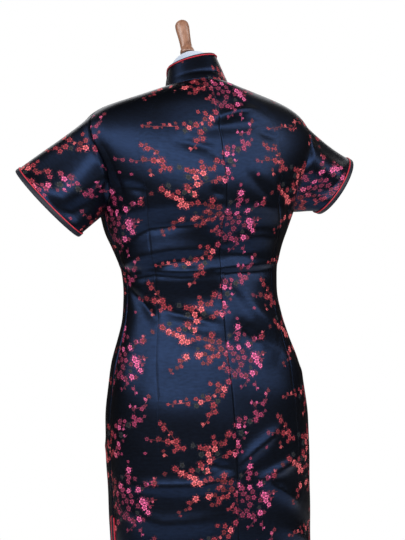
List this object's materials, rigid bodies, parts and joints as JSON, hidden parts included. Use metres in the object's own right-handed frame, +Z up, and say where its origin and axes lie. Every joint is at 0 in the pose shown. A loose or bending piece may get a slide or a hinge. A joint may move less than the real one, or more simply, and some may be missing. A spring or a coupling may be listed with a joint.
{
  "type": "cheongsam dress on a limbless dress form",
  "caption": "Short-sleeved navy brocade cheongsam with blossom sprays, on a white limbless dress form with a wooden knob and round foot",
  "frame": {"origin": "centre of the flat underside of the foot, on the pole's axis; the foot stands on Z = 0", "axes": "+Z up along the pole; the dress's front faces -Y, its back +Y, and the wearer's left side +X"},
  "size_m": [0.6488, 0.3035, 1.5236],
  "materials": {
    "brocade": "satin ground with woven blossom sprays",
    "navy_satin": "satin",
    "red_piping": "satin",
    "white_jersey": "matt knit",
    "brown_wood": "varnished",
    "pole_steel": "brushed"
  },
  "bodies": {
    "root": {"back_left": "brocade", "back_right": "brocade", "front": "brocade", "underlap": "brocade", "sleeve_left": "brocade", "sleeve_right": "brocade", "collar": "brocade", "collar_binding": "navy_satin", "collar_piping": "red_piping", "cuff_binding_left": "navy_satin", "cuff_binding_right": "navy_satin", "cuff_piping_left": "red_piping", "cuff_piping_right": "red_piping", "opening_binding": "navy_satin", "opening_piping": "red_piping", "hem_binding_back": "navy_satin", "hem_binding_front": "navy_satin", "hem_piping_back": "red_piping", "hem_piping_front": "red_piping", "frog_collar_knot": "navy_satin", "frog_collar_loop": "navy_satin", "frog_collar_tail": "navy_satin", "frog_chest_knot": "navy_satin", "frog_chest_loop": "navy_satin", "frog_chest_tail": "navy_satin", "frog_underarm_knot": "navy_satin", "frog_underarm_loop": "navy_satin", "frog_underarm_tail": "navy_satin", "form_body": "white_jersey", "knob": "brown_wood", "foot": "brown_wood", "pole": "pole_steel"}
  },
  "joints": []
}
